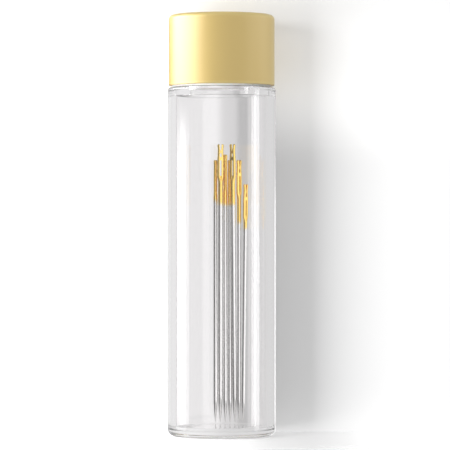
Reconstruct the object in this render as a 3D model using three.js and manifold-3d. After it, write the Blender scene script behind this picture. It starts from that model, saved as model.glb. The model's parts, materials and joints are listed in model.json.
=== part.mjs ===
// Easy-threading hand-sewing needles in a clear screw-cap vial.
// Millimetres, +Z up, origin at the centre of the vial's base. The needles stand on the
// vial's floor in a row along its back wall (+Y), the way they lie when the vial is on its back.
import * as THREE from 'three';
import { mergeVertices, toCreasedNormals } from 'three/addons/utils/BufferGeometryUtils.js';
import Module from 'manifold-3d';

const wasm = await Module();
wasm.setup();

// Needles: overall length and wire diameter of each hand-sewing size in the set
const SIZE_4_LENGTH = 40.3;
const SIZE_4_WIRE = 0.72;
const SIZE_5_LENGTH = 38.8;
const SIZE_5_WIRE = 0.69;
const SIZE_6_LENGTH = 38.0;
const SIZE_6_WIRE = 0.66;
const SIZE_8_LENGTH = 34.5;
const SIZE_8_WIRE = 0.6;
const NEEDLE_SIZES = {
  4: { length: SIZE_4_LENGTH, diameter: SIZE_4_WIRE },
  5: { length: SIZE_5_LENGTH, diameter: SIZE_5_WIRE },
  6: { length: SIZE_6_LENGTH, diameter: SIZE_6_WIRE },
  8: { length: SIZE_8_LENGTH, diameter: SIZE_8_WIRE },
};

// The row from left to right, seen from the front (-Y). turn is the eye's angle about the needle's
// own axis, where 0 faces the front; plated is how far the gold reaches down from the top;
// lean tips the head to the right; a raised needle rests its head on its neighbours' heads.
const NEEDLES = [
  { name: 'needle_1', size: 6, turn: 82, plated: 5.9, lean: 0, raised: false },
  { name: 'needle_2', size: 4, turn: 0, plated: 8.6, lean: 0, raised: true },
  { name: 'needle_3', size: 5, turn: 98, plated: 7.3, lean: 0, raised: false },
  { name: 'needle_4', size: 6, turn: 84, plated: 6.4, lean: 0, raised: false },
  { name: 'needle_5', size: 4, turn: 8, plated: 8.7, lean: 0, raised: true },
  { name: 'needle_6', size: 6, turn: 97, plated: 9.0, lean: 0, raised: false },
  { name: 'needle_7', size: 8, turn: 86, plated: 6.4, lean: 0.8, raised: false },
];
const FIRST_NEEDLE_ANGLE = -9.1; // degrees round the vial's axis from the back wall's middle
const NEEDLE_GAP = 0.05; // between neighbouring needles
const WALL_GAP = 0.1; // between a needle and the vial's wall
const FLOOR_GAP = 0.1; // between a needle's point and the vial's floor

// Needle form
const POINT_LENGTH = 9.0; // the taper from the wire to the point
const POINT_RADIUS = 0.03;
const POINT_STEPS = [0, 0.12, 0.3, 0.6, 1]; // sections along the taper, as shares of its length
const POINT_BELLY = 1.8; // above 1 the taper swells towards the wire
const HEAD_FLARE = 0.24; // how much wider the flattened head is than the wire
const HEAD_FLATTENING = 0.2; // how much thinner the head is than the wire
const HEAD_TAPER = 1.0; // from the round wire to the flat head
const HEAD_SQUARENESS = 0.55; // of the head's section: 0 is an ellipse, 1 has square corners
const TAPER_SQUARENESS = 0.25; // halfway along that taper
const EYE_SIDE_WALL = 0.31; // metal left on each side of the closed eye
const EYE_LENGTH = 2.3; // the closed lower eye
const BRIDGE = 0.4; // metal between the closed eye and the snap eye
const SNAP_EYE_LENGTH = 0.6; // the upper eye that the thread snaps into
const SLIT_WIDTH = 0.09;
const SLIT_LENGTH = 0.3;
const MOUTH_DEPTH = 1.0; // the open V that guides the thread to the slit
const HORN_WIDTH = 0.28; // the tips on each side of the mouth
const WAIST_DEPTH = 0.06; // how far each side draws in at the slit
const TOP_ROUND = 0.22; // height of the rounding on the horns
const ROUND_STEP = 0.7; // where that rounding bends, as a share of its height
const STEP_INSET = 0.12; // how far it has drawn in there, as a share of the half width
const STEP_THICKNESS = 0.85; // the share of the thickness left there
const TIP_INSET = 0.4; // the same two at the very top
const TIP_THICKNESS = 0.5;
const GROOVE_LENGTH = 2.6; // the thread groove below the closed eye, on both faces
const GROOVE_WIDTH = 0.24;
const GROOVE_DEPTH = 0.1;

// Vial
const VIAL_DIAMETER = 15.4;
const VIAL_WALL = 1.15;
const BASE_THICKNESS = 1.4;
const BASE_EDGE_RADIUS = 1.0;
const FLOOR_EDGE_RADIUS = 0.5;
const FOOT_WIDTH = 1.8; // the flat ring that the vial stands on
const RECESS_DEPTH = 0.35; // the hollow inside that ring
const HEADROOM = 6.7; // free length above the longest needle
const CEILING_RADIUS = 0.2;
const SHOULDER_THICKNESS = 1.2;
const SHOULDER_EDGE_RADIUS = 0.35;
const SHOULDER_LEDGE = 2.0; // the step from the body in to the neck
const NECK_WALL = 1.2;
const NECK_HEIGHT = 7.8;
const NECK_ROOT_RADIUS = 0.25;
const RIM_RADIUS = 0.35;
const MOUTH_EDGE_RADIUS = 0.4; // where the ceiling turns up into the neck

// Cap
const THREAD_DEPTH = 0.7; // room for the neck's thread
const THREAD_CLEARANCE = 0.15;
const LINER_WALL = 0.55;
const LINER_TOP = 0.9;
const LINER_CHAMFER = 0.2;
const LINER_SETBACK = 0.4; // the liner's mouth lies this far inside the shell's edge
const SHELL_WALL = 0.35;
const SHELL_TOP = 0.4;
const SHELL_TOP_RADIUS = 0.7;
const SHELL_FIT = 0.1; // between the shell and the liner
const CAP_GAP = 0.3; // between the shell's edge and the vial's shoulder
const DISC_THICKNESS = 1.0;
const DISC_EDGE = 0.15;
const DISC_CLEARANCE = 0.15; // round the disc, in the liner
const SEAT_GAP = 0.1; // between the disc and what it lies against

// Mesh fineness
const SIDES = 48;
const ARC_DIVISIONS = 2;
const NEEDLE_SIDES = 12;
const EYE_DIVISIONS = 4;
const GROOVE_SIDES = 6;
const GROOVE_RINGS = 4;
const CREASE = THREE.MathUtils.degToRad(35);

// Sizes that follow from those above
const vialRadius = VIAL_DIAMETER / 2;
const boreRadius = vialRadius - VIAL_WALL;
const neckRadius = vialRadius - SHOULDER_LEDGE;
const neckBoreRadius = neckRadius - NECK_WALL;
const longest = Math.max(...NEEDLES.map(({ size }) => NEEDLE_SIZES[size].length));
const needleFoot = BASE_THICKNESS + FLOOR_GAP;
const ceilingHeight = needleFoot + longest + HEADROOM;
const shoulderHeight = ceilingHeight + SHOULDER_THICKNESS;
const rimHeight = shoulderHeight + NECK_HEIGHT;
const linerBore = neckRadius + THREAD_DEPTH + THREAD_CLEARANCE;
const linerRadius = linerBore + LINER_WALL;
const shellBore = linerRadius + SHELL_FIT;
const shellRadius = shellBore + SHELL_WALL;
const discFoot = rimHeight + SEAT_GAP;
const linerCeiling = discFoot + DISC_THICKNESS + SEAT_GAP;
const shellCeiling = linerCeiling + LINER_TOP + SHELL_FIT;
const capTop = shellCeiling + SHELL_TOP;
const capEdge = shoulderHeight + CAP_GAP;

// Materials
const STEEL = new THREE.Color('#c9cbce');
const GOLD = new THREE.Color('#d9a637');
const clearPlastic = new THREE.MeshStandardMaterial({
  color: '#eef1f2', roughness: 0.05, metalness: 0, transparent: true, opacity: 0.3,
});
const goldAnodised = new THREE.MeshStandardMaterial({ color: '#d8bc72', roughness: 0.35, metalness: 1 });
const whitePlastic = new THREE.MeshStandardMaterial({ color: '#f0eeea', roughness: 0.5, metalness: 0 });
const whiteFoam = new THREE.MeshStandardMaterial({ color: '#f6f5f2', roughness: 0.9, metalness: 0 });
const platedSteel = new THREE.MeshStandardMaterial({ roughness: 0.2, metalness: 1, vertexColors: true });

// Turns a half profile, drawn as radius and height, round the Z axis.
function revolve(profile) {
  return new THREE.LatheGeometry(profile.getPoints(ARC_DIVISIONS), SIDES).rotateX(Math.PI / 2);
}

// A closed geometry as a solid for cutting.
function solidOf(geometry) {
  const bare = geometry.clone();
  bare.deleteAttribute('normal');
  bare.deleteAttribute('uv');
  const merged = mergeVertices(bare);
  return new wasm.Manifold(new wasm.Mesh({
    numProp: 3,
    vertProperties: merged.attributes.position.array,
    triVerts: new Uint32Array(merged.index.array),
  }));
}

// The solid back as a geometry whose sharp edges stay sharp.
function geometryOf(solid) {
  const { vertProperties, triVerts } = solid.getMesh();
  const geometry = new THREE.BufferGeometry();
  geometry.setAttribute('position', new THREE.BufferAttribute(vertProperties, 3));
  geometry.setIndex(new THREE.BufferAttribute(triVerts, 1));
  return toCreasedNormals(geometry, CREASE);
}

// The vial: foot ring, rounded base, straight wall, shoulder and neck, then the bore back down.
function vialGeometry() {
  const footInner = vialRadius - BASE_EDGE_RADIUS - FOOT_WIDTH;
  const quarter = Math.PI / 2;
  const profile = new THREE.Path();
  const corner = (radius, height, rounding, from, to) => {
    profile.absarc(radius, height, rounding, from * quarter, to * quarter, to < from);
  };
  profile.moveTo(0, RECESS_DEPTH);
  profile.lineTo(footInner - RECESS_DEPTH, RECESS_DEPTH);
  profile.lineTo(footInner, 0);
  profile.lineTo(vialRadius - BASE_EDGE_RADIUS, 0);
  corner(vialRadius - BASE_EDGE_RADIUS, BASE_EDGE_RADIUS, BASE_EDGE_RADIUS, -1, 0);
  const shoulderEdge = shoulderHeight - SHOULDER_EDGE_RADIUS;
  corner(vialRadius - SHOULDER_EDGE_RADIUS, shoulderEdge, SHOULDER_EDGE_RADIUS, 0, 1);
  const neckRoot = shoulderHeight + NECK_ROOT_RADIUS;
  corner(neckRadius + NECK_ROOT_RADIUS, neckRoot, NECK_ROOT_RADIUS, -1, -2);
  corner(neckRadius - RIM_RADIUS, rimHeight - RIM_RADIUS, RIM_RADIUS, 0, 1);
  corner(neckBoreRadius + RIM_RADIUS, rimHeight - RIM_RADIUS, RIM_RADIUS, 1, 2);
  const mouthEdge = ceilingHeight + MOUTH_EDGE_RADIUS;
  corner(neckBoreRadius + MOUTH_EDGE_RADIUS, mouthEdge, MOUTH_EDGE_RADIUS, 2, 3);
  corner(boreRadius - CEILING_RADIUS, ceilingHeight - CEILING_RADIUS, CEILING_RADIUS, 1, 0);
  const floorEdge = BASE_THICKNESS + FLOOR_EDGE_RADIUS;
  corner(boreRadius - FLOOR_EDGE_RADIUS, floorEdge, FLOOR_EDGE_RADIUS, 0, -1);
  profile.lineTo(0, BASE_THICKNESS);
  return revolve(profile);
}

// The cap's drawn metal shell: a thin cup, open downwards, with a rounded top edge and a rolled lip.
function shellGeometry() {
  const quarter = Math.PI / 2;
  const lip = SHELL_WALL / 2;
  const innerRadius = Math.max(SHELL_TOP_RADIUS - SHELL_WALL, SHELL_WALL / 2);
  const profile = new THREE.Path();
  profile.moveTo(0, shellCeiling);
  profile.lineTo(shellBore - innerRadius, shellCeiling);
  profile.absarc(shellBore - innerRadius, shellCeiling - innerRadius, innerRadius, quarter, 0, true);
  profile.absarc(shellBore + lip, capEdge + lip, lip, -2 * quarter, 0);
  profile.absarc(shellRadius - SHELL_TOP_RADIUS, capTop - SHELL_TOP_RADIUS, SHELL_TOP_RADIUS, 0, quarter);
  profile.lineTo(0, capTop);
  return revolve(profile);
}

// The cap's plastic liner, which carries the thread and grips the shell from inside.
function linerGeometry() {
  const quarter = Math.PI / 2;
  const edge = capEdge + LINER_SETBACK;
  const top = linerCeiling + LINER_TOP;
  const cornerRadius = Math.max(SHELL_TOP_RADIUS - SHELL_WALL, SHELL_WALL / 2);
  const profile = new THREE.Path();
  profile.moveTo(0, linerCeiling);
  profile.lineTo(linerBore, linerCeiling);
  profile.lineTo(linerBore, edge + LINER_CHAMFER);
  profile.lineTo(linerBore + LINER_CHAMFER, edge);
  profile.lineTo(linerRadius, edge);
  profile.absarc(linerRadius - cornerRadius, top - cornerRadius, cornerRadius, 0, quarter);
  profile.lineTo(0, top);
  return revolve(profile);
}

// The soft disc that the cap presses on the vial's rim.
function discGeometry() {
  const radius = linerBore - DISC_CLEARANCE;
  const top = discFoot + DISC_THICKNESS;
  const profile = new THREE.Path();
  profile.moveTo(0, discFoot);
  profile.lineTo(radius - DISC_EDGE, discFoot);
  profile.lineTo(radius, discFoot + DISC_EDGE);
  profile.lineTo(radius, top - DISC_EDGE);
  profile.lineTo(radius - DISC_EDGE, top);
  profile.lineTo(0, top);
  return revolve(profile);
}

// Half sizes of a needle's head, across its eye and through its thickness.
function headOf({ diameter }) {
  return { across: (diameter + HEAD_FLARE) / 2, through: (diameter - HEAD_FLATTENING) / 2 };
}

// How far a turned head reaches sideways along the row, and from the wall towards the vial's axis.
function reachOf({ size, turn }) {
  const { across, through } = headOf(NEEDLE_SIZES[size]);
  const wire = NEEDLE_SIZES[size].diameter / 2;
  const cosine = Math.abs(Math.cos(THREE.MathUtils.degToRad(turn)));
  const sine = Math.abs(Math.sin(THREE.MathUtils.degToRad(turn)));
  return {
    wire,
    sideways: Math.max(wire, across * cosine + through * sine),
    inwards: Math.max(wire, across * sine + through * cosine),
  };
}

// Heights along a needle, from its point at 0 to its top, with the eyes stacked below the top.
function stationsOf({ length }) {
  const slitTop = length - MOUTH_DEPTH;
  const snapEyeTop = slitTop - SLIT_LENGTH;
  const snapEyeFoot = snapEyeTop - SNAP_EYE_LENGTH;
  const eyeTop = snapEyeFoot - BRIDGE;
  const eyeFoot = eyeTop - EYE_LENGTH;
  return { slitTop, snapEyeTop, snapEyeFoot, eyeTop, eyeFoot, headFoot: eyeFoot - HEAD_TAPER };
}

// The sections of the needle blank: a drawn wire, ground to a point and flattened at the head.
// Each is a height, two half widths and a squareness from 0, round, to 1, square-cornered.
function blankSections(size, plated) {
  const { length, diameter } = size;
  const { across, through } = headOf(size);
  const { slitTop, eyeTop, eyeFoot, headFoot } = stationsOf(size);
  const wire = diameter / 2;
  const round = (height, radius) => ({ height, across: radius, through: radius, square: 0 });
  const flat = (height, inset, thinning) => (
    { height, across: across * (1 - inset), through: through * thinning, square: HEAD_SQUARENESS }
  );
  const point = POINT_STEPS.map((share) => {
    const grown = 1 - (1 - share) ** POINT_BELLY;
    return round(share * POINT_LENGTH, POINT_RADIUS + (wire - POINT_RADIUS) * grown);
  });
  const halfway = {
    height: (headFoot + eyeFoot) / 2,
    across: (wire + across) / 2,
    through: (wire + through) / 2,
    square: TAPER_SQUARENESS,
  };
  const sections = [
    ...point,
    round(length - plated, wire),
    round(headFoot, wire),
    halfway,
    flat(eyeFoot, 0, 1),
    flat(eyeTop, 0, 1),
    flat(slitTop, WAIST_DEPTH / across, 1),
    flat(length - TOP_ROUND, 0, 1),
    flat(length - TOP_ROUND * (1 - ROUND_STEP), STEP_INSET, STEP_THICKNESS),
    flat(length, TIP_INSET, TIP_THICKNESS),
  ];
  return sections.sort((a, b) => a.height - b.height);
}

// A closed skin through a stack of sections.
function loft(sections) {
  const positions = [];
  const triangles = [];
  sections.forEach(({ height, across, through, square }) => {
    for (let side = 0; side < NEEDLE_SIDES; side += 1) {
      const angle = (2 * Math.PI * side) / NEEDLE_SIDES;
      const power = 1 - square / 2;
      const x = Math.sign(Math.cos(angle)) * Math.abs(Math.cos(angle)) ** power;
      const y = Math.sign(Math.sin(angle)) * Math.abs(Math.sin(angle)) ** power;
      positions.push(across * x, through * y, height);
    }
  });
  for (let ring = 0; ring < sections.length - 1; ring += 1) {
    for (let side = 0; side < NEEDLE_SIDES; side += 1) {
      const a = ring * NEEDLE_SIDES + side;
      const b = ring * NEEDLE_SIDES + ((side + 1) % NEEDLE_SIDES);
      triangles.push(a, b, b + NEEDLE_SIDES, a, b + NEEDLE_SIDES, a + NEEDLE_SIDES);
    }
  }
  const top = (sections.length - 1) * NEEDLE_SIDES;
  for (let side = 1; side < NEEDLE_SIDES - 1; side += 1) {
    triangles.push(0, side + 1, side, top, top + side, top + side + 1);
  }
  const geometry = new THREE.BufferGeometry();
  geometry.setAttribute('position', new THREE.Float32BufferAttribute(positions, 3));
  geometry.setIndex(triangles);
  return geometry;
}

// A flat shape, drawn as width and height, as a punch through the needle's head.
function punch(shape, depth) {
  const options = { depth, bevelEnabled: false, curveSegments: EYE_DIVISIONS };
  const geometry = new THREE.ExtrudeGeometry(shape, options);
  return solidOf(geometry.translate(0, 0, -depth / 2).rotateX(Math.PI / 2));
}

// The closed eye: a slot with round ends.
function eyeShape(foot, top, width) {
  const radius = width / 2;
  const shape = new THREE.Shape();
  shape.absarc(0, foot + radius, radius, Math.PI, 2 * Math.PI);
  shape.absarc(0, top - radius, radius, 0, Math.PI);
  shape.closePath();
  return shape;
}

// The open eye: a V mouth that narrows to a slit, and the snap eye below it.
function snapEyeShape(size, eyeWidth) {
  const { slitTop, snapEyeTop, snapEyeFoot } = stationsOf(size);
  const clear = size.length + TOP_ROUND;
  const slit = SLIT_WIDTH / 2;
  const mouth = headOf(size).across - HORN_WIDTH;
  const radius = eyeWidth / 2;
  const shape = new THREE.Shape();
  shape.moveTo(mouth, clear);
  shape.lineTo(-mouth, clear);
  shape.quadraticCurveTo(-mouth, slitTop + MOUTH_DEPTH / 3, -slit, slitTop);
  shape.lineTo(-slit, snapEyeTop);
  shape.quadraticCurveTo(-radius, snapEyeTop, -radius, (snapEyeTop + snapEyeFoot) / 2);
  shape.quadraticCurveTo(-radius, snapEyeFoot, 0, snapEyeFoot);
  shape.quadraticCurveTo(radius, snapEyeFoot, radius, (snapEyeTop + snapEyeFoot) / 2);
  shape.quadraticCurveTo(radius, snapEyeTop, slit, snapEyeTop);
  shape.lineTo(slit, slitTop);
  shape.quadraticCurveTo(mouth, slitTop + MOUTH_DEPTH / 3, mouth, clear);
  return shape;
}

// The groove that leads the thread down from the closed eye, on one face of the needle.
function grooveSolid(size, face) {
  const { eyeFoot } = stationsOf(size);
  const { through } = headOf(size);
  const groove = new THREE.SphereGeometry(1, GROOVE_SIDES, GROOVE_RINGS).rotateX(Math.PI / 2);
  groove.scale(GROOVE_WIDTH / 2, GROOVE_DEPTH, GROOVE_LENGTH / 2);
  groove.translate(0, face * through, eyeFoot);
  return solidOf(groove);
}

// Gold on the plated head and bare steel below it, as vertex colours.
function paint(geometry, plateFoot) {
  const heights = geometry.attributes.position;
  const colours = [];
  for (let i = 0; i < heights.count; i += 1) {
    const colour = heights.getZ(i) > plateFoot ? GOLD : STEEL;
    colours.push(colour.r, colour.g, colour.b);
  }
  geometry.setAttribute('color', new THREE.Float32BufferAttribute(colours, 3));
  return geometry;
}

// One needle, point down on the origin, its eye facing -Y.
function needleGeometry(size, plated) {
  const { eyeFoot, eyeTop } = stationsOf(size);
  const eyeWidth = 2 * (headOf(size).across - EYE_SIDE_WALL);
  const punchDepth = 2 * size.diameter;
  const needle = solidOf(loft(blankSections(size, plated)))
    .subtract(grooveSolid(size, -1))
    .subtract(grooveSolid(size, 1))
    .subtract(punch(eyeShape(eyeFoot, eyeTop, eyeWidth), punchDepth))
    .subtract(punch(snapEyeShape(size, eyeWidth), punchDepth));
  return paint(geometryOf(needle), size.length - plated);
}

// How far a raised needle's head stands in from the wall, over the heads beside it.
function liftOf(needle, neighbours) {
  const own = reachOf(needle);
  const highest = Math.max(...neighbours.map((other) => 2 * reachOf(other).inwards));
  return highest + NEEDLE_GAP + own.inwards - own.wire;
}

// The needles, side by side on an arc just inside the vial's wall.
function needleRow() {
  const row = new THREE.Group();
  let angle = THREE.MathUtils.degToRad(FIRST_NEEDLE_ANGLE);
  NEEDLES.forEach((needle, index) => {
    const size = NEEDLE_SIZES[needle.size];
    const reach = reachOf(needle);
    const standOff = WALL_GAP + (needle.raised ? reach.wire : reach.inwards);
    const sideways = needle.raised ? reach.wire : reach.sideways;
    if (index > 0) {
      const before = NEEDLES[index - 1];
      const beforeReach = reachOf(before);
      const beforeSideways = before.raised ? beforeReach.wire : beforeReach.sideways;
      angle += (beforeSideways + NEEDLE_GAP + sideways) / (boreRadius - WALL_GAP - reach.inwards);
    }
    const neighbours = NEEDLES.filter((other, place) => Math.abs(place - index) === 1);
    const lift = needle.raised ? liftOf(needle, neighbours) : 0;
    const mesh = new THREE.Mesh(needleGeometry(size, needle.plated), platedSteel);
    mesh.name = needle.name;
    mesh.position.set(0, boreRadius - standOff, needleFoot);
    mesh.rotation.set(
      Math.atan2(lift, stationsOf(size).headFoot),
      THREE.MathUtils.degToRad(needle.lean),
      THREE.MathUtils.degToRad(needle.turn),
    );
    const place = new THREE.Group();
    place.rotation.z = -angle;
    place.add(mesh);
    row.add(place);
  });
  return row;
}

function part(name, geometry, material) {
  const mesh = new THREE.Mesh(geometry, material);
  mesh.name = name;
  return mesh;
}

const needleVial = new THREE.Group();
needleVial.add(
  part('vial', vialGeometry(), clearPlastic),
  part('cap_shell', shellGeometry(), goldAnodised),
  part('cap_liner', linerGeometry(), whitePlastic),
  part('sealing_disc', discGeometry(), whiteFoam),
  needleRow(),
);

export default needleVial;
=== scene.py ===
# %% [markdown]
# # Easy-threading needles in a clear screw-cap vial
# This lesson dresses a small CAD model: a clear moulded vial, a satin gold cap with its liner and
# sealing disc, and seven hand-sewing needles whose split heads let a thread snap in from the top.
# The CAD model gives the sizes, the places and the joints. Each piece here stands for one of its
# nodes, so it is made at that node's size and rides on that node's body.

# %% Load the CAD model
import json
import math

import bpy
import numpy as np
from mathutils import Matrix, Vector


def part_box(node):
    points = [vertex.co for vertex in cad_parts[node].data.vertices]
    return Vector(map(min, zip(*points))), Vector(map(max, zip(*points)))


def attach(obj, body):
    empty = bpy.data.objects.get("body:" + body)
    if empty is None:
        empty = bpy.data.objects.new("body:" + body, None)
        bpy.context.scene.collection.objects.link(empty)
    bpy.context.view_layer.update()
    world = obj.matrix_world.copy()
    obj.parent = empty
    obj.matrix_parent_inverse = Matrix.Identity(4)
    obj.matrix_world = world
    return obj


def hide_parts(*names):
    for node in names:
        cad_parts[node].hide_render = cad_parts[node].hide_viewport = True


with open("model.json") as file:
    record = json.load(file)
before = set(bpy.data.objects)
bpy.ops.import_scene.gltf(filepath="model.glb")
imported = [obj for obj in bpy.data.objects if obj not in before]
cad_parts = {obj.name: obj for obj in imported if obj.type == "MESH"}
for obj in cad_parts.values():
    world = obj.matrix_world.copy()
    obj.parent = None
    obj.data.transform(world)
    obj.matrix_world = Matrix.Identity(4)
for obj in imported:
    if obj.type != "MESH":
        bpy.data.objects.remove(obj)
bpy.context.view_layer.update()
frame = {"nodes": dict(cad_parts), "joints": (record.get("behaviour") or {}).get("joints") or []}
MM = 0.001
print("CAD nodes:", ", ".join(sorted(frame["nodes"])))

# %% [markdown]
# ## A way to write materials
# A material is a tree of nodes, and long trees are hard to read as node calls. One small class
# wraps a socket instead, so that sums on it are written as plain Python and add the Math nodes by
# themselves. Everything that isn't a sum comes from its one method, node().


# %% Sockets that take part in sums
class Value:
    """A socket of a node tree. a * b, 1 - a and so on add the Math nodes for it."""

    def __init__(self, tree, socket=None):
        self.tree = tree
        self.socket = socket

    def node(self, kind, settings, inputs, output=0):
        """Any node: its type, its settings, then the values or links of its sockets."""
        made = self.tree.nodes.new(kind)
        for name, setting in settings.items():
            setattr(made, name, setting)
        for name, value in inputs.items():
            if isinstance(value, Value):
                self.tree.links.new(value.socket, made.inputs[name])
            else:
                made.inputs[name].default_value = value
        return Value(self.tree, made.outputs[output])

    def sum_node(self, operation, first, second):
        return self.node("ShaderNodeMath", {"operation": operation}, {0: first, 1: second})

    def __add__(self, other):
        return self.sum_node("ADD", self, other)

    def __sub__(self, other):
        return self.sum_node("SUBTRACT", self, other)

    def __rsub__(self, other):
        return self.sum_node("SUBTRACT", other, self)

    def __mul__(self, other):
        return self.sum_node("MULTIPLY", self, other)

    def larger(self, other):
        return self.sum_node("MAXIMUM", self, other)

    def step(self, low, high):
        """0 below low, 1 above high and a smooth rise between them."""
        settings = {"interpolation_type": "SMOOTHSTEP"}
        inputs = {"Value": self, "From Min": low, "From Max": high}
        return self.node("ShaderNodeMapRange", settings, inputs)

    def tint(self, colour_a, colour_b):
        """colour_a where this value is 0 and colour_b where it is 1."""
        inputs = {0: self, 6: colour_a, 7: colour_b}
        return self.node("ShaderNodeMix", {"data_type": "RGBA"}, inputs, 2)

    def noise(self, coordinates, scale, detail=2.0):
        inputs = {"Vector": coordinates, "Scale": scale, "Detail": detail}
        return self.node("ShaderNodeTexNoise", {}, inputs)

    def bump(self, height, distance, strength):
        inputs = {"Height": height, "Distance": distance, "Strength": strength}
        return self.node("ShaderNodeBump", {}, inputs)


OBJECT_COORDINATES = 3  # the Texture Coordinate node's Object output


def new_finish(name):
    """A material, its Principled shader, a Value to build on and the piece's own coordinates."""
    made = bpy.data.materials.new(name)
    made.use_nodes = True
    start = Value(made.node_tree)
    place = start.node("ShaderNodeTexCoord", {}, {}, OBJECT_COORDINATES)
    return made, made.node_tree.nodes["Principled BSDF"], start, place


def set_shader(shader, start, constants, varying):
    """Numbers go on the shader's own sockets, and what changes over the surface is linked."""
    for name, number in constants.items():
        shader.inputs[name].default_value = number
    for name, value in varying.items():
        start.tree.links.new(value.socket, shader.inputs[name])


def stretched(start, place, scale):
    """Coordinates stretched along each axis, for marks that run one way."""
    return start.node("ShaderNodeMapping", {"vector_type": "POINT"}, {"Vector": place, "Scale": scale})


print("material helpers ready")

# %% [markdown]
# ## The clear plastic
# The vial is a clear moulding with a polished surface. A glass shader gives that, and the walls are
# modelled with both faces, so the bends of light at the rim and the base come from the shape. A very
# slow waviness in the normal stands for the flow of the melt, which keeps the highlights alive, and
# patches that hands have dulled a little vary the roughness.

# %% Clear plastic finish
PLASTIC_IOR = 1.52
FLOW_SCALE = 260.0
FLOW_STRETCH = (1.0, 1.0, 0.25)
HANDLING_SCALE = 900.0
clear_plastic, shader, start, place = new_finish("clear_plastic")
flow = start.noise(stretched(start, place, FLOW_STRETCH), FLOW_SCALE, 1.0)
handling = start.noise(place, HANDLING_SCALE, 3.0)
set_shader(
    shader, start,
    {"IOR": PLASTIC_IOR, "Transmission Weight": 1.0},
    {
        "Base Color": handling.tint((1.0, 0.99, 0.993, 1), (0.99, 0.982, 0.985, 1)),
        "Roughness": handling.step(0.55, 0.8) * 0.03 + 0.005,
        "Normal": start.bump(flow, 0.00002, 0.06),
    },
)
print("finish:", clear_plastic.name)

# %% [markdown]
# ## The gold cap metal
# The cap is drawn aluminium, anodised to a pale satin gold. The satin is a dense fine grain, far
# smaller than a pixel here, so it shows as a broad highlight: roughness carries it, with the grain in
# the bump for close views. A clear sealed layer lies over the colour. Its own reflection makes the
# highlight white, where bare metal would keep it gold, so the shader gets a strong, soft coat. Fingers
# polish the top edge and the lip, so the roughness falls there.

# %% Satin gold finish
GRAIN_SCALE = 14000.0
CLOUD_SCALE = 240.0
RUBBED_TOP = (0.9, 0.2)  # mm below the top where the rubbing starts and where it is full
RUBBED_LIP = (0.1, 0.5)  # mm above the lip where it is full and where it ends
cap_low, cap_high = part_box("cap_shell")
satin_gold, shader, start, place = new_finish("satin_gold")
height = start.node("ShaderNodeSeparateXYZ", {}, {"Vector": place}, 2)
grain = start.noise(place, GRAIN_SCALE)
cloud = start.noise(place, CLOUD_SCALE, 3.0)
top_edge = height.step(cap_high.z - RUBBED_TOP[0] * MM, cap_high.z - RUBBED_TOP[1] * MM)
lip = 1 - height.step(cap_low.z + RUBBED_LIP[0] * MM, cap_low.z + RUBBED_LIP[1] * MM)
rubbed = top_edge.larger(lip)
set_shader(
    shader, start,
    {"Metallic": 1.0, "Coat Weight": 1.0, "Coat Roughness": 0.36, "Coat IOR": 2.2},
    {
        "Base Color": (cloud * 0.5 + rubbed * 0.5).tint((0.86, 0.66, 0.20, 1), (0.90, 0.72, 0.26, 1)),
        "Roughness": cloud * 0.06 + grain * 0.06 - rubbed * 0.08 + 0.68,
        "Normal": start.bump(grain, 0.00001, 0.12),
    },
)
print("finish:", satin_gold.name)

# %% [markdown]
# ## The white plastics
# The liner is a natural white moulding, and the sealing disc is closed-cell foam. Both are white, and
# differ in how they take light: the liner has a soft sheen and a fine spark-eroded texture, while the
# foam is dull and pitted with small cells.

# %% White plastic and foam finishes
TEXTURE_SCALE = 6000.0
PATCH_SCALE = 300.0
CELL_SCALE = 5200.0
white_plastic, shader, start, place = new_finish("white_plastic")
texture = start.noise(place, TEXTURE_SCALE)
patch = start.noise(place, PATCH_SCALE)
set_shader(
    shader, start,
    {"Subsurface Weight": 0.15, "Subsurface Scale": 0.0004},
    {
        "Base Color": patch.tint((0.89, 0.88, 0.86, 1), (0.92, 0.91, 0.90, 1)),
        "Roughness": texture * 0.2 + 0.35,
        "Normal": start.bump(texture, 0.00001, 0.2),
    },
)
white_foam, shader, start, place = new_finish("white_foam")
cells = start.node("ShaderNodeTexVoronoi", {"feature": "F1"}, {"Vector": place, "Scale": CELL_SCALE})
set_shader(
    shader, start,
    {"Specular IOR Level": 0.25},
    {
        "Base Color": cells.tint((0.90, 0.90, 0.88, 1), (0.80, 0.80, 0.78, 1)),
        "Roughness": cells * 0.2 + 0.75,
        "Normal": start.bump(1 - cells, 0.00004, 0.5),
    },
)
print("finishes:", white_plastic.name, white_foam.name)

# %% [markdown]
# ## The plated needle steel
# A needle is polished steel wire whose head was dipped for gold plating. Two materials would make a
# hard line, and the real edge is soft and a little uneven. So it is one material: each needle's mesh
# carries its distance from the plating line in millimetres, and a noise moves the line a little.
# Polishing runs along the wire, so the marks in the roughness and the bump are stretched that way.

# %% Plated steel finish
PLATE_LINE = "plate_line"
ATTRIBUTE_NUMBER = 2  # the Attribute node's Fac output
UNEVEN_SCALE = 1500.0
UNEVEN = 0.8  # mm that the plating line wanders in all
PLATE_FADE = 0.45  # mm that it takes to fade on each side
MARK_SCALE = 9000.0
MARK_STRETCH = (1.0, 1.0, 0.02)
plated_steel, shader, start, place = new_finish("plated_steel")
from_line = start.node("ShaderNodeAttribute", {"attribute_name": PLATE_LINE}, {}, ATTRIBUTE_NUMBER)
uneven = start.noise(place, UNEVEN_SCALE)
plating = (from_line + uneven * UNEVEN - UNEVEN / 2).step(-PLATE_FADE, PLATE_FADE)
marks = start.noise(stretched(start, place, MARK_STRETCH), MARK_SCALE)
set_shader(
    shader, start,
    {"Metallic": 1.0},
    {
        "Base Color": plating.tint((0.78, 0.775, 0.77, 1), (0.94, 0.67, 0.175, 1)),
        "Roughness": marks * 0.08 + plating * 0.05 + 0.05,
        "Normal": start.bump(marks, 0.000004, 0.15),
    },
)
print("finish:", plated_steel.name)

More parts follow.
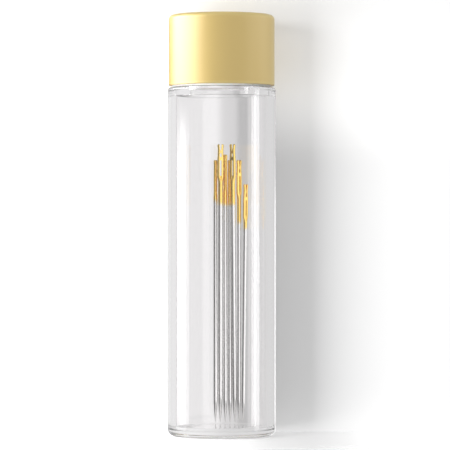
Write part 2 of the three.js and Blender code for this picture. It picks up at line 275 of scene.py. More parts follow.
# %% [markdown]
# ## Turned shapes
# The vial, the shell, the liner and the disc are all round, so each is a profile turned about the
# vial's axis. A modifier could turn it too, but a function also lets a thread swell the wall as it
# goes round. Corners are given with a rounding. Beside each arc a holding point is set on the
# straight, because smooth shading would otherwise tilt the normals along a whole long wall, and clear
# plastic shows that at once.

# %% Profiles and turning
ARC_STEPS = 8
HOLD = 0.06 * MM
ON_AXIS = HOLD / 10
SIDES = 144
SHARP_DEGREES = 35


def rounded(corners):
    """A profile through corners of (radius, height, rounding), in millimetres."""
    spots = [Vector((radius * MM, height * MM)) for radius, height, _ in corners]
    points = [spots[0]]
    for index in range(1, len(corners) - 1):
        corner, rounding = spots[index], corners[index][2] * MM
        back = (spots[index - 1] - corner).normalized()
        on = (spots[index + 1] - corner).normalized()
        if rounding == 0:
            points.append(corner)
            continue
        inside = back.angle(on)
        reach = rounding / math.tan(inside / 2)
        centre = corner + (back + on).normalized() * rounding / math.sin(inside / 2)
        first = corner + back * reach
        sweep = math.copysign(math.pi - inside, back.cross(on))
        points.append(first + back * HOLD)
        for step in range(ARC_STEPS + 1):
            turn = Matrix.Rotation(-sweep * step / ARC_STEPS, 2)
            points.append(centre + turn @ (first - centre))
        points.append(corner + on * (reach + HOLD))
    return points + [spots[-1]]


def make_piece(name, points, faces):
    """A mesh object with smooth faces, and sharp edges where they meet at a clear angle."""
    mesh = bpy.data.meshes.new(name)
    mesh.from_pydata(points, [], faces)
    mesh.update()
    mesh.shade_smooth()
    mesh.set_sharp_from_angle(angle=math.radians(SHARP_DEGREES))
    piece = bpy.data.objects.new(name, mesh)
    bpy.context.scene.collection.objects.link(piece)
    return piece


def turned(name, profile, swell=None):
    """Turns a profile about the Z axis. swell gives extra radius at an angle and a profile point."""
    points, rings, faces = [], [], []
    for spot in profile:
        sides = 1 if spot.x < ON_AXIS else SIDES
        rings.append([len(points) + side for side in range(sides)])
        for side in range(sides):
            angle = 2 * math.pi * side / SIDES
            radius = spot.x + (swell(angle, spot) if swell else 0)
            points.append((radius * math.cos(angle), radius * math.sin(angle), spot.y))
    for low, high in zip(rings, rings[1:]):
        for side in range(SIDES):
            corners = [low[side % len(low)], low[(side + 1) % SIDES % len(low)]]
            corners += [high[(side + 1) % SIDES % len(high)], high[side % len(high)]]
            faces.append(list(dict.fromkeys(corners)))
    return make_piece(name, points, faces)


def dress(piece, body, node, finish):
    """Gives a piece its finish, and sets it in for a CAD node on that node's body."""
    piece.data.materials.append(finish)
    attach(piece, body)
    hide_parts(node)


print("turning helpers ready")

# %% [markdown]
# ## The screw thread
# The neck and the liner carry one right-hand thread: a rounded ridge that climbs one pitch a turn and
# fades out at both ends. It is modelled by pushing the wall in and out where the ridge runs. The
# liner's ridge lies half a pitch from the neck's, so the cap can be screwed up with no clash.

# %% The thread's shape
PITCH = 2.12
THREAD_DEPTH = 0.6
RIDGE_FLAT = 0.16
RIDGE_SLOPE = 0.32
FADE_TURNS = 0.2
THREAD_ROWS = 72


def smooth(share):
    share = min(max(share, 0.0), 1.0)
    return share * share * (3 - 2 * share)


def ridge(angle, height, start, turns):
    """Share of the thread's full depth at an angle and a height in millimetres."""
    best = 0.0
    for lap in range(math.ceil(turns)):
        along = angle / (2 * math.pi) + lap
        if along > turns:
            continue
        off = abs(height - start - along * PITCH)
        fade = min(along, turns - along) / FADE_TURNS
        best = max(best, smooth(1 - (off - RIDGE_FLAT) / RIDGE_SLOPE) * smooth(fade))
    return best


def threaded(low, high, radius):
    """Profile points up or down a straight wall, close enough for a thread."""
    heights = [low + (high - low) * row / THREAD_ROWS for row in range(1, THREAD_ROWS)]
    return [Vector((radius * MM, height * MM)) for height in heights]


print("thread pitch:", PITCH, "mm")

# %% [markdown]
# ## The vial
# One moulding: a foot ring round a shallow hollow with the mark of the moulding gate in it, a thick
# base, a straight wall, a shoulder and the threaded neck. Light passes four surfaces on its way
# through, so the bore has as many points as the outside. The corners inside it are nearly sharp,
# because a wide rounding in clear plastic mirrors the room's dark side as a line.

# %% Make the vial
VIAL_RADIUS = 7.7
BORE_RADIUS = 6.55
NECK_RADIUS = 5.7
NECK_BORE = 4.5
FOOT_RADIUS = 4.9
HOLLOW_RADIUS = 4.6
HOLLOW_DEPTH = 0.35
GATE_RADIUS = 0.7
GATE_SKIRT = 0.95
GATE_DEPTH = 0.22
BASE_TOP = 1.4
CEILING = 48.5
SHOULDER = 49.7
RIM = 57.5
NECK_THREAD = (51.5, 2.2)  # where it starts, in mm, and its turns
THREAD_ROOM = (50.3, 56.9)
vial_outside = rounded([
    (0, GATE_DEPTH, 0), (GATE_RADIUS, GATE_DEPTH, 0.08), (GATE_SKIRT, HOLLOW_DEPTH, 0.15),
    (HOLLOW_RADIUS, HOLLOW_DEPTH, 0.2), (FOOT_RADIUS, 0, 0.12),
    (VIAL_RADIUS, 0, 1.0), (VIAL_RADIUS, SHOULDER, 0.35), (NECK_RADIUS, SHOULDER, 0.25),
    (NECK_RADIUS, THREAD_ROOM[0], 0),
])
vial_inside = rounded([
    (NECK_RADIUS, THREAD_ROOM[1], 0), (NECK_RADIUS, RIM, 0.35), (NECK_BORE, RIM, 0.35),
    (NECK_BORE, CEILING, 0.04), (BORE_RADIUS, CEILING, 0.04),
    (BORE_RADIUS, BASE_TOP, 0.15), (0, BASE_TOP, 0),
])


def neck_swell(angle, spot):
    on_neck = abs(spot.x - NECK_RADIUS * MM) < HOLD and spot.y > THREAD_ROOM[0] * MM
    return ridge(angle, spot.y / MM, *NECK_THREAD) * THREAD_DEPTH * MM if on_neck else 0


neck_wall = threaded(*THREAD_ROOM, NECK_RADIUS)
vial = turned("clear_vial", vial_outside + neck_wall + vial_inside, neck_swell)
dress(vial, "vial", "vial", clear_plastic)
print("vial:", len(vial.data.vertices), "points")

# %% [markdown]
# ## The cap
# Three pieces: the thin drawn shell with a rolled lip, the liner that carries the thread, and the
# foam disc. The liner reaches down just short of the shoulder, so that white plastic shows under the
# lip and not a dark gap. The vial's rim has pressed a shallow ring into the disc's underside.

# %% Make the shell, the liner and the disc
SHELL_RADIUS = 7.55
SHELL_BORE = 7.2
CAP_EDGE = 50.0
CAP_TOP = 60.1
SHELL_CEILING = 59.7
shell = turned("gold_cap_shell", rounded([
    (0, SHELL_CEILING, 0), (SHELL_BORE, SHELL_CEILING, 0.35), (SHELL_BORE, CAP_EDGE, 0.1),
    (SHELL_RADIUS, CAP_EDGE, 0.1), (SHELL_RADIUS, CAP_TOP, 0.7), (0, CAP_TOP, 0),
]))
dress(shell, "cap", "cap_shell", satin_gold)

LINER_RADIUS = 7.1
LINER_BORE = 6.55
LINER_EDGE = 49.76
LINER_CHAMFER = 0.2
LINER_CEILING = 58.7
LINER_TOP = 59.6
LINER_THREAD = (51.5 + PITCH / 2, 1.9)
LINER_ROOM = (57.4, 50.9)
liner_inside = rounded([
    (0, LINER_CEILING, 0), (LINER_BORE, LINER_CEILING, 0.2), (LINER_BORE, LINER_ROOM[0], 0),
])
liner_outside = rounded([
    (LINER_BORE, LINER_ROOM[1], 0), (LINER_BORE, LINER_EDGE + LINER_CHAMFER, 0.1),
    (LINER_BORE + LINER_CHAMFER, LINER_EDGE, 0.05), (LINER_RADIUS, LINER_EDGE, 0.1),
    (LINER_RADIUS, LINER_TOP, 0.35), (0, LINER_TOP, 0),
])


def liner_swell(angle, spot):
    in_bore = abs(spot.x - LINER_BORE * MM) < HOLD and LINER_ROOM[1] * MM < spot.y < LINER_ROOM[0] * MM
    return -ridge(angle, spot.y / MM, *LINER_THREAD) * THREAD_DEPTH * MM if in_bore else 0


liner_wall = threaded(*LINER_ROOM, LINER_BORE)
liner = turned("threaded_liner", liner_inside + liner_wall + liner_outside, liner_swell)
dress(liner, "cap", "cap_liner", white_plastic)

DISC_RADIUS = 6.4
DISC_FOOT = 57.6
DISC_TOP = 58.6
PRESSED = 0.05
PRESSED_SLOPE = 0.2
disc = turned("sealing_foam_disc", rounded([
    (0, DISC_FOOT, 0), (NECK_BORE, DISC_FOOT, 0.1), (NECK_BORE + PRESSED_SLOPE, DISC_FOOT + PRESSED, 0.1),
    (NECK_RADIUS - PRESSED_SLOPE, DISC_FOOT + PRESSED, 0.1), (NECK_RADIUS, DISC_FOOT, 0.1),
    (DISC_RADIUS, DISC_FOOT, 0.15), (DISC_RADIUS, DISC_TOP, 0.15), (0, DISC_TOP, 0),
]))
dress(disc, "seal", "sealing_disc", white_foam)
print("cap pieces:", shell.name, liner.name, disc.name)

# %% [markdown]
# ## The needle's blank
# A needle starts as wire, ground to a full point and pressed flat at the head. That is a stack of
# sections from the point to the top, each somewhere between a circle and a rounded rectangle, with a
# skin through them. It is worked in millimetres and made small at the end, because the cutting step
# that follows is safer on larger numbers.

# %% Sections and skin of a blank
NEEDLE_SIZES = {4: (40.3, 0.72), 5: (38.8, 0.69), 6: (38.0, 0.66), 8: (34.5, 0.60)}  # length, wire
POINT_LENGTH = 4.2
POINT_RADIUS = 0.04
POINT_BELLY = 2.2  # above 1 the point swells towards the wire
HEAD_FLARE = 0.24
HEAD_FLATTENING = 0.2
HEAD_TAPER = 1.0
HEAD_SQUARENESS = 0.55
EYE_SIDE_WALL = 0.31
EYE_LENGTH = 2.3
BRIDGE = 0.4
SNAP_EYE_LENGTH = 0.6
SLIT_WIDTH = 0.09
SLIT_LENGTH = 0.3
MOUTH_DEPTH = 1.0
HORN_WIDTH = 0.28
WAIST_DEPTH = 0.06
TOP_ROUND = 0.22
TOP_NARROWING = 0.4  # shares of the width and the thickness lost at the very top
TOP_THINNING = 0.5
NEEDLE_SIDES = 32
POINT_ROWS = 18
POINT_CROWDING = 1.5  # above 1 the rows lie closer near the tip
SHAFT_ROWS = 16
TAPER_ROWS = 8
HEAD_ROWS = 20
TOP_ROWS = 7


def stations(length):
    """Heights of the slit's top, the snap eye, the closed eye and the head's foot."""
    slit = length - MOUTH_DEPTH
    snap_top = slit - SLIT_LENGTH
    snap_foot = snap_top - SNAP_EYE_LENGTH
    eye_top = snap_foot - BRIDGE
    eye_foot = eye_top - EYE_LENGTH
    return slit, snap_top, snap_foot, eye_top, eye_foot, eye_foot - HEAD_TAPER


def section(height, length, wire):
    """Half widths across and through the needle at a height, and how square the section is."""
    slit, _, _, eye_top, _, head_foot = stations(length)
    across, through = (wire + HEAD_FLARE) / 2, (wire - HEAD_FLATTENING) / 2
    if height < POINT_LENGTH:
        grown = 1 - (1 - height / POINT_LENGTH) ** POINT_BELLY
        radius = POINT_RADIUS + (wire / 2 - POINT_RADIUS) * grown
        return radius, radius, 0.0
    flat = smooth((height - head_foot) / HEAD_TAPER)
    drawn_in = smooth((height - eye_top) / (slit - eye_top))
    waist = drawn_in * smooth((length - TOP_ROUND - height) / (MOUTH_DEPTH / 2))
    dome = max(0.0, (height - length + TOP_ROUND) / TOP_ROUND)
    fall = 1 - math.sqrt(max(0.0, 1 - dome * dome))
    return (
        (wire / 2 + (across - wire / 2) * flat - WAIST_DEPTH * waist) * (1 - TOP_NARROWING * fall),
        (wire / 2 + (through - wire / 2) * flat) * (1 - TOP_THINNING * fall),
        HEAD_SQUARENESS * flat,
    )


def skin(rings, sides):
    """Faces over a stack of equal rings of points, closed at both ends."""
    faces = []
    for ring in range(rings - 1):
        for side in range(sides):
            low, low_next = ring * sides + side, ring * sides + (side + 1) % sides
            faces.append((low, low_next, low_next + sides, low + sides))
    faces.append(tuple(range(sides))[::-1])
    faces.append(tuple(range((rings - 1) * sides, rings * sides)))
    return faces


def blank(length, wire):
    """Points and faces of an uncut needle, in millimetres, with its point at the origin."""
    *_, eye_foot, head_foot = stations(length)
    shoulder = length - TOP_ROUND
    heights = np.concatenate([
        POINT_LENGTH * np.linspace(0, 1, POINT_ROWS, endpoint=False) ** POINT_CROWDING,
        np.linspace(POINT_LENGTH, head_foot, SHAFT_ROWS, endpoint=False),
        np.linspace(head_foot, eye_foot, TAPER_ROWS, endpoint=False),
        np.linspace(eye_foot, shoulder, HEAD_ROWS, endpoint=False),
        shoulder + TOP_ROUND * np.sin(np.linspace(0, math.pi / 2, TOP_ROWS)),
    ])
    points = []
    for height in heights:
        across, through, square = section(height, length, wire)
        power = 1 - square / 2
        for side in range(NEEDLE_SIDES):
            angle = 2 * math.pi * side / NEEDLE_SIDES
            x = math.copysign(abs(math.cos(angle)) ** power, math.cos(angle))
            y = math.copysign(abs(math.sin(angle)) ** power, math.sin(angle))
            points.append((across * x, through * y, height))
    return points, skin(len(heights), NEEDLE_SIDES)


print("blank of a size 4:", len(blank(*NEEDLE_SIZES[4])[0]), "points")

# %% [markdown]
# ## The punched eyes
# This is the feature that makes the needle easy to thread. A closed long eye lies below, as on any
# needle. Above it a small snap eye opens through a slit, narrower than a thread, into a V mouth
# between two horns: thread pulled down into the mouth springs the slit open and snaps in. Real ones
# are punched, and so are these: flat outlines become punches, and a Boolean modifier cuts them from
# the blank. A shallow groove below the eye lets the thread lie flush. A fine bevel takes the sharpness
# off the cut edges.

# %% Punches and cutting
CURVE_STEPS = 10
GROOVE = (0.12, 0.10, 1.3)  # half its width, its depth and half its length
GROOVE_ROWS = 10
GROOVE_SIDES = 16
CUT_EDGE = 0.012
CUT_EDGE_STEPS = 2
CUT_EDGE_DEGREES = 50


def bend(a, control, b):
    """Points along a curve from a to b that leans towards a control point, without its start."""
    shares = [step / CURVE_STEPS for step in range(1, CURVE_STEPS + 1)]
    a, control, b = Vector(a), Vector(control), Vector(b)
    return [a * (1 - s) ** 2 + control * 2 * s * (1 - s) + b * s * s for s in shares]


def slot_outline(foot, top, width):
    """The closed eye: a slot with round ends."""
    radius = width / 2
    angles = [math.pi * step / CURVE_STEPS for step in range(CURVE_STEPS + 1)]
    over = [Vector((radius * math.cos(a), top - radius + radius * math.sin(a))) for a in angles]
    under = [Vector((-radius * math.cos(a), foot + radius - radius * math.sin(a))) for a in angles]
    return over + under


def snap_outline(length, wire):
    """The V mouth, the slit and the snap eye in one outline."""
    slit_top, snap_top, snap_foot, *_ = stations(length)
    clear = length + TOP_ROUND
    slit = SLIT_WIDTH / 2
    across = (wire + HEAD_FLARE) / 2
    mouth, radius = across - HORN_WIDTH, across - EYE_SIDE_WALL
    waist = (snap_top + snap_foot) / 2
    lean = slit_top + MOUTH_DEPTH / 3
    right = [Vector((0, snap_foot))]
    right += bend((0, snap_foot), (radius, snap_foot), (radius, waist))
    right += bend((radius, waist), (radius, snap_top), (slit, snap_top))
    right += [Vector((slit, slit_top))]
    right += bend((slit, slit_top), (mouth, lean), (mouth, clear))
    left = [Vector((-spot.x, spot.y)) for spot in reversed(right[1:])]
    return right + left


def punch(outline, depth):
    """A prism through the needle's head, from an outline of width and height."""
    count = len(outline)
    points = [(spot.x, y, spot.y) for y in (-depth, depth) for spot in outline]
    faces = [tuple(range(count)), tuple(range(2 * count - 1, count - 1, -1))]
    for i in range(count):
        faces.append((i, i + count, (i + 1) % count + count, (i + 1) % count))
    return make_piece("punch", points, faces)


def groove_cutter(eye_foot, through, face):
    """A long thin egg that cuts the thread groove on one face."""
    points = []
    for row in range(1, GROOVE_ROWS):
        tip = math.pi * row / GROOVE_ROWS
        for side in range(GROOVE_SIDES):
            angle = 2 * math.pi * side / GROOVE_SIDES
            egg = Vector((math.cos(angle) * math.sin(tip), math.sin(angle) * math.sin(tip), -math.cos(tip)))
            y = face * through + GROOVE[1] * egg.y
            points.append((GROOVE[0] * egg.x, y, eye_foot + GROOVE[2] * egg.z))
    return make_piece("groove", points, skin(GROOVE_ROWS - 1, GROOVE_SIDES))


def cut_needle(length, wire):
    """A finished needle mesh in millimetres: the blank with its grooves and eyes cut."""
    *_, eye_top, eye_foot, _ = stations(length)
    across, through = (wire + HEAD_FLARE) / 2, (wire - HEAD_FLATTENING) / 2
    needle = make_piece("blank", *blank(length, wire))
    cutters = [
        groove_cutter(eye_foot, through, -1),
        groove_cutter(eye_foot, through, 1),
        punch(slot_outline(eye_foot, eye_top, 2 * (across - EYE_SIDE_WALL)), wire),
        punch(snap_outline(length, wire), wire),
    ]
    for cutter in cutters:
        cut = needle.modifiers.new(cutter.name, "BOOLEAN")
        cut.operation, cut.solver, cut.object = "DIFFERENCE", "EXACT", cutter
    edge = needle.modifiers.new("cut_edge", "BEVEL")
    edge.width, edge.segments, edge.limit_method = CUT_EDGE, CUT_EDGE_STEPS, "ANGLE"
    edge.angle_limit = math.radians(CUT_EDGE_DEGREES)
    mesh = bpy.data.meshes.new_from_object(needle.evaluated_get(bpy.context.evaluated_depsgraph_get()))
    for used in [needle, *cutters]:
        bpy.data.objects.remove(used)
    return mesh


needle_meshes = {size: cut_needle(*NEEDLE_SIZES[size]) for size in NEEDLE_SIZES}
print("needle points by size:", {size: len(mesh.vertices) for size, mesh in needle_meshes.items()})

# %% [markdown]
# ## The needles in the vial
# Each needle goes where its CAD node is. The node's lowest points give its tip, its joint gives the
# way it points, and a table gives its size, how its eye is turned and how far the gold reaches down.
# The second and the fifth needle show their eyes, and the others are turned more or less edge on, as
# loose needles lie.

# %% Place the needles
NEEDLES = {  # size, turn of the eye in degrees, length of the plating in mm
    "needle_1": (6, 62, 5.9),
    "needle_2": (4, 10, 8.6),
    "needle_3": (5, 118, 7.3),
    "needle_4": (6, 70, 6.4),
    "needle_5": (4, -6, 8.7),
    "needle_6": (6, 58, 9.0),
    "needle_7": (8, 62, 6.4),
}
TIP_BAND = 0.01 * MM
NEEDLE_SHARP_DEGREES = 40
slides = {joint["child"]: Vector(joint["axis"]) for joint in frame["joints"] if joint["type"] == "slide"}


def needle_place(name, turn):
    """The matrix that stands a needle, point down, where its CAD node is."""
    along = slides[name].normalized()
    spots = [vertex.co for vertex in frame["nodes"][name].data.vertices]
    lowest = min(spot.dot(along) for spot in spots)
    ends = [spot for spot in spots if spot.dot(along) < lowest + TIP_BAND]
    tip = sum(ends, Vector()) / len(ends)
    round_vial = Matrix.Rotation(-math.atan2(tip.x, tip.y), 4, "Z")
    inward = round_vial.to_3x3().transposed() @ along
    tilt = Matrix.Rotation(math.atan2(-inward.y, inward.z), 4, "X")
    lean = Matrix.Rotation(math.asin(inward.x), 4, "Y")
    return Matrix.Translation(tip) @ round_vial @ tilt @ lean @ Matrix.Rotation(math.radians(turn), 4, "Z")


for name, (size, turn, plated) in NEEDLES.items():
    mesh = needle_meshes[size].copy()
    mesh.name = "plated_" + name
    line = NEEDLE_SIZES[size][0] - plated
    distance = mesh.attributes.new(PLATE_LINE, "FLOAT", "POINT")
    distance.data.foreach_set("value", [vertex.co.z - line for vertex in mesh.vertices])
    mesh.transform(Matrix.Scale(MM, 4))
    mesh.shade_smooth()
    mesh.set_sharp_from_angle(angle=math.radians(NEEDLE_SHARP_DEGREES))
    needle = bpy.data.objects.new("plated_" + name, mesh)
    bpy.context.scene.collection.objects.link(needle)
    needle.matrix_world = needle_place(name, turn)
    dress(needle, name, name, plated_steel)
    print(needle.name, "size", size, "tip at", [round(c / MM, 2) for c in needle.matrix_world.translation])

# %% [markdown]
# ## The camera
# The photo looks straight at the vial from the front, level with its middle. The curve of the cap's
# and the base's edges gives the distance, nearly seven times the vial's length.

# %% Set the camera
SENSOR_WIDTH = 36.0
VIEW_WIDTH = 0.0643
VIEW_DISTANCE = 0.407
VIEW_X = 0.00047
VIEW_HEIGHT = 0.0301
camera_data = bpy.data.cameras.new("photo_camera")
camera_data.sensor_width = SENSOR_WIDTH
camera_data.lens = SENSOR_WIDTH * VIEW_DISTANCE / VIEW_WIDTH
camera = bpy.data.objects.new("photo_camera", camera_data)
camera.location = (VIEW_X, -VIEW_DISTANCE, VIEW_HEIGHT)
camera.rotation_euler = (math.radians(90), 0, 0)
bpy.context.scene.collection.objects.link(camera)
bpy.context.scene.camera = camera
print("lens:", round(camera_data.lens, 1), "mm")

# %% [markdown]
# ## The stage
# The vial stands on a white floor, close in front of a white backdrop that takes its soft shadow. The
# backdrop is turned a little, so that a view from the side doesn't see it edge on as a line. Both
# sheets show to the camera, and through the clear plastic, where they glow so that the vial isn't dark
# inside. The glow is graded and paints shade: a painted shadow on the floor right of the vial, the
# lamp's shadow on the backdrop painted lighter near the floor and beside the neck and cap, and through
# the plastic a painted shade that darkens to the right, with a painted shadow band beside the needles.
# The backdrop shows only its front, so the vial can be seen from behind. Away from the vial both fade
# to clear, and the white room shows. In the needles' reflections the sheets' left part is painted
# dim, a painted shade which gives each wire a dark edge.

# %% Floor and backdrop
REACH = 0.6
BACKDROP_Y = 8.2 * MM
BACKDROP_TURN = 0.03
# painted shade: how much the sheets' glow is dimmed on the left in the needles' reflections, which paints a
# dark edge on each wire
LEFT_PAINTED_SHADE = 0.8  # share of the glow that reflections lose on the left
LEFT_FROM = -9 * MM
LEFT_TO = -4 * MM
PAST_INSIDE = (2.2, 2.8)  # crossings of plastic: two lead in, and the third starts the way out
ANY_MIRROR = (0.2, 0.8)  # reflections: none or one


def grey(level):
    return (level, level, level, 1)


WHITE = grey(1)
BARE = grey(0)
SHEET_WHITE = grey(0.8)


def ray_past(start):
    """Two tests of a ray, each 0 or 1: it has left the vial's inside again, and it was mirrored."""
    deep = start.node("ShaderNodeLightPath", {}, {}, "Transmission Depth").step(*PAST_INSIDE)
    mirrored = start.node("ShaderNodeLightPath", {}, {}, "Glossy Depth").step(*ANY_MIRROR)
    return deep, mirrored


def bare_finish(name):
    """A material with an empty output, and a Value to build on."""
    made = bpy.data.materials.new(name)
    made.use_nodes = True
    made.node_tree.nodes.remove(made.node_tree.nodes["Principled BSDF"])
    return made, Value(made.node_tree)


def set_surface(start, surface):
    start.tree.links.new(surface.socket, start.tree.nodes["Material Output"].inputs["Surface"])


def graded(place, levels):
    """A brightness that changes along a coordinate, from (place in mm, brightness) pairs."""
    brightness = levels[0][1]
    for (low, low_level), (high, high_level) in zip(levels, levels[1:]):
        brightness = place.step(low * MM, high * MM) * (high_level - low_level) + brightness
    return brightness


def stage_finish(name, axis, glow, fade, painted_through_glow):
    """Takes a soft shadow, glows through clear plastic and fades to clear away from the vial.

    glow is its brightness in full shadow along an axis, and its rises and dips there are painted
    light and painted shade. painted_through_glow is its brightness through clear plastic from left to
    right, painted darker where shadows would fall, and fade gives the distances in mm where it starts
    and ends to fade.
    """
    made, start = bare_finish(name)
    camera_ray = start.node("ShaderNodeLightPath", {}, {}, "Is Camera Ray")
    clear_ray = start.node("ShaderNodeLightPath", {}, {}, "Is Transmission Ray")
    deep, mirrored = ray_past(start)
    behind = start.node("ShaderNodeNewGeometry", {}, {}, "Backfacing")
    spot = start.node("ShaderNodeNewGeometry", {}, {}, "Position")
    across = start.node("ShaderNodeSeparateXYZ", {}, {"Vector": spot}, "X")
    along = start.node("ShaderNodeSeparateXYZ", {}, {"Vector": spot}, axis)
    flat = start.node("ShaderNodeVectorMath", {"operation": "MULTIPLY"}, {0: spot, 1: (1, 1, 0)})
    away = start.node("ShaderNodeVectorMath", {"operation": "LENGTH"}, {0: flat}, 1)
    near = 1 - away.step(fade[0] * MM, fade[1] * MM)
    takes_shadow = start.node("ShaderNodeBsdfDiffuse", {}, {"Color": SHEET_WHITE})
    # painted shade and painted light: the glow graded along the axis sets how bright the sheet is in shadow
    lifted = start.node("ShaderNodeEmission", {}, {"Color": graded(along, glow).tint(BARE, WHITE)})
    seen = start.node("ShaderNodeAddShader", {}, {0: takes_shadow, 1: lifted})
    # painted shade: through the plastic the glow is graded darker to the right, and in the needles'
    # reflections it is dimmed on the left, a painted dark edge
    leftward = 1 - across.step(LEFT_FROM, LEFT_TO)
    glimpse = graded(across, painted_through_glow) * (1 - deep * mirrored * leftward * LEFT_PAINTED_SHADE)
    through = start.node("ShaderNodeEmission", {}, {"Color": glimpse.tint(BARE, WHITE)})
    shown = start.node("ShaderNodeMixShader", {}, {0: clear_ray, 1: seen, 2: through})
    clear = start.node("ShaderNodeBsdfTransparent", {}, {"Color": WHITE})
    here = camera_ray.larger(clear_ray) * (1 - behind) * near
    set_surface(start, start.node("ShaderNodeMixShader", {}, {0: here, 1: clear, 2: shown}))
    return made


def stage_sheet(name, corners, finish):
    sheet = make_piece(name, corners, [(0, 1, 2, 3)])
    sheet.data.materials.append(finish)
    return sheet


# painted shadow: the floor's glow dips to its lowest 9 to 11.5 mm right of the axis and rises again by 32
# mm, a shadow painted beside the vial; through the plastic the floor is painted darker to the right
floor_painted_shadow_glow = [(-4, 0.75), (9, 0.31), (11.5, 0.29), (26, 0.62), (32, 0.75)]
floor_painted_through_shade = [(-1.2, 0.85), (0.6, 0.7)]
stage_sheet(
    "floor", [(-REACH, -REACH, 0), (REACH, -REACH, 0), (REACH, REACH, 0), (-REACH, REACH, 0)],
    stage_finish("white_floor", "X", floor_painted_shadow_glow, (21, 36), floor_painted_through_shade),
)
far, close = BACKDROP_Y + REACH * BACKDROP_TURN, BACKDROP_Y - REACH * BACKDROP_TURN
# painted light on the shadow: in full shadow the backdrop's glow rises near the floor and beside the neck
# and cap, so the lamp's shadow is painted lighter there
backdrop_painted_shade_glow = [(0, 0.19), (8, 0.14), (38, 0.14), (48, 0.33), (56, 0.26), (63, 0.12)]
# painted shadows: through the plastic the backdrop is painted darker right of the axis, as the vial's shade,
# and darkest from 3.2 to 4.2 mm, the needles' shadow
backdrop_painted_through_shadows = [
    (-6.6, 0.84), (-5.2, 0.78), (-3.6, 0.78), (-2.8, 0.88), (-1.2, 0.88),
    (0.6, 0.70), (2.0, 0.70), (3.2, 0.53), (4.2, 0.53), (4.8, 0.70),
]
stage_sheet(
    "backdrop", [(-REACH, far, -REACH), (REACH, close, -REACH), (REACH, close, REACH), (-REACH, far, REACH)],
    stage_finish("white_backdrop", "Z", backdrop_painted_shade_glow, (28, 44), backdrop_painted_through_shadows),
)
print("stage set", round(BACKDROP_Y / MM, 1), "mm behind the axis")

# %% [markdown]
# ## The panels
# A photographer lights clear plastic and metal with tall panels, because their reflections draw the
# shape. Here they are sheets that only reflections see: one on each side for the bright strips on the
# vial, three higher ones for the cap, and two behind for the bright rims. Light linking keeps three of
# them off the cap, where they would show as stripes. What stands inside the vial sees each panel at a
# second brightness.

# %% Glowing panels
PANEL_EDGE = grey(0.65)  # the room's tone, where a panel has faded out
CAP_HEIGHTS = (57, 62, 120, 150)
RIM_FOOT = (-60, -50)


def glowing_panel(name, near_end, far_end, heights, radiance, inside):
    """An upright panel between two places on the floor, in mm, seen in reflections only.

    heights gives where it fades in and out. radiance is its light on the cap and on the vial's near
    wall, and inside is its light on what stands behind that wall.
    """
    made, start = bare_finish(name)
    spot = start.node("ShaderNodeNewGeometry", {}, {}, "Position")
    height = start.node("ShaderNodeSeparateXYZ", {}, {"Vector": spot}, 2)
    foot, low, high, top = [level * MM for level in heights]
    shape = height.step(foot, low) * (1 - height.step(high, top))
    deep, mirrored = ray_past(start)
    colour = deep.tint(shape.tint(PANEL_EDGE, grey(radiance)), grey(inside))
    light = start.node("ShaderNodeEmission", {}, {"Color": colour})
    clear = start.node("ShaderNodeBsdfTransparent", {}, {"Color": WHITE})
    set_surface(start, start.node("ShaderNodeMixShader", {}, {0: mirrored, 1: clear, 2: light}))
    made.cycles.emission_sampling = "NONE"
    near_end, far_end = [(x * MM, y * MM) for x, y in (near_end, far_end)]
    corners = [(*near_end, foot), (*far_end, foot), (*far_end, top), (*near_end, top)]
    panel = stage_sheet(name, corners, made)
    panel.visible_camera = panel.visible_diffuse = panel.visible_shadow = False
    return panel


glowing_panel("left_panel", (-150, -24), (-150, 54), (-12, -6, 42, 55), 4.0, 0.12)
glowing_panel("left_cap_panel", (-150, -75), (-150, 110), CAP_HEIGHTS, 5.6, 0.12)
glowing_panel("front_cap_panel", (-150, -150), (-150, -75), CAP_HEIGHTS, 3.2, 0.2)
glowing_panel("right_cap_panel", (150, -90), (150, 60), CAP_HEIGHTS, 1.2, 1.5)
vial_panels = [
    glowing_panel("right_panel", (150, -47), (150, -11), (-12, -6, 54, 58), 6.0, 1.5),
    glowing_panel("left_rim_panel", (-24, 150), (-130, 150), (*RIM_FOOT, 60, 70), 0.85, 0.35),
    glowing_panel("right_rim_panel", (16, 150), (76, 150), (*RIM_FOOT, 30, 44), 1.45, 1.26),
]
off_the_cap = bpy.data.collections.new("off_the_cap")
off_the_cap.objects.link(shell)
off_the_cap.collection_objects[0].light_linking.link_state = "EXCLUDE"
for panel in vial_panels:
    panel.light_linking.receiver_collection = off_the_cap
print("panels kept off the cap:", [panel.name for panel in vial_panels])

# %% [markdown]
# ## The lamp and the room
# One soft lamp from the front left casts the shadow on the stage, and nothing mirrors it. The room is
# a plain grey, and white to the camera. What the needles mirror of it through the plastic is dark on
# the left and bright on the right, which models the wires. Light crosses many clear walls one behind
# another, and with few bounces their edges would turn black.

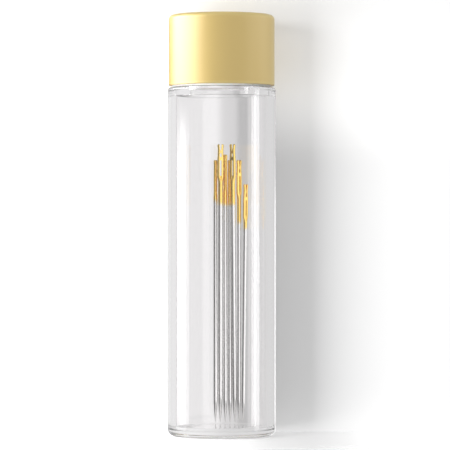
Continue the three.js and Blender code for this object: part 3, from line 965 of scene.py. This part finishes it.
# %% Lamp, bounces and room
LAMP_ANGLE = math.radians(42)
LAMP_DISTANCE = 0.302
LAMP_SIZE = (0.16, 0.2)
LAMP_POWER = 0.85
middle = Vector((0, 0, 0.03))
lamp_data = bpy.data.lights.new("shadow_lamp", "AREA")
lamp_data.shape = "RECTANGLE"
lamp_data.size, lamp_data.size_y = LAMP_SIZE
lamp_data.energy = LAMP_POWER
lamp = bpy.data.objects.new("shadow_lamp", lamp_data)
to_lamp = Vector((-math.sin(LAMP_ANGLE), -math.cos(LAMP_ANGLE), 0)) * LAMP_DISTANCE
lamp.location = middle + to_lamp
lamp.rotation_euler = (-to_lamp).to_track_quat("-Z", "Y").to_euler()
lamp.visible_camera = lamp.visible_glossy = lamp.visible_transmission = False
bpy.context.scene.collection.objects.link(lamp)

BOUNCES = 48
paths = bpy.context.scene.cycles
paths.max_bounces = paths.transmission_bounces = paths.glossy_bounces = BOUNCES

ROOM = grey(0.6)
ROOM_THROUGH_PLASTIC = grey(0.8)
MIRRORED_LEFT = grey(0.08)
MIRRORED_RIGHT = grey(1.5)
LEFT_TO_RIGHT = (-0.85, 0.5)  # the directions between which the needles' reflections brighten
world = bpy.data.worlds.new("room")
bpy.context.scene.world = world
world.use_nodes = True
room = Value(world.node_tree)
camera_ray = room.node("ShaderNodeLightPath", {}, {}, "Is Camera Ray")
clear_ray = room.node("ShaderNodeLightPath", {}, {}, "Is Transmission Ray")
deep, mirrored = ray_past(room)
direction = room.node("ShaderNodeTexCoord", {}, {}, "Generated")
rightward = room.node("ShaderNodeSeparateXYZ", {}, {"Vector": direction}, "X").step(*LEFT_TO_RIGHT)
plain = clear_ray.tint(ROOM, ROOM_THROUGH_PLASTIC)
on_needles = rightward.tint(MIRRORED_LEFT, MIRRORED_RIGHT)
colour = camera_ray.tint((deep * mirrored).tint(plain, on_needles), WHITE)
world.node_tree.links.new(colour.socket, world.node_tree.nodes["Background"].inputs["Color"])
bpy.context.scene.view_settings.view_transform = "Standard"
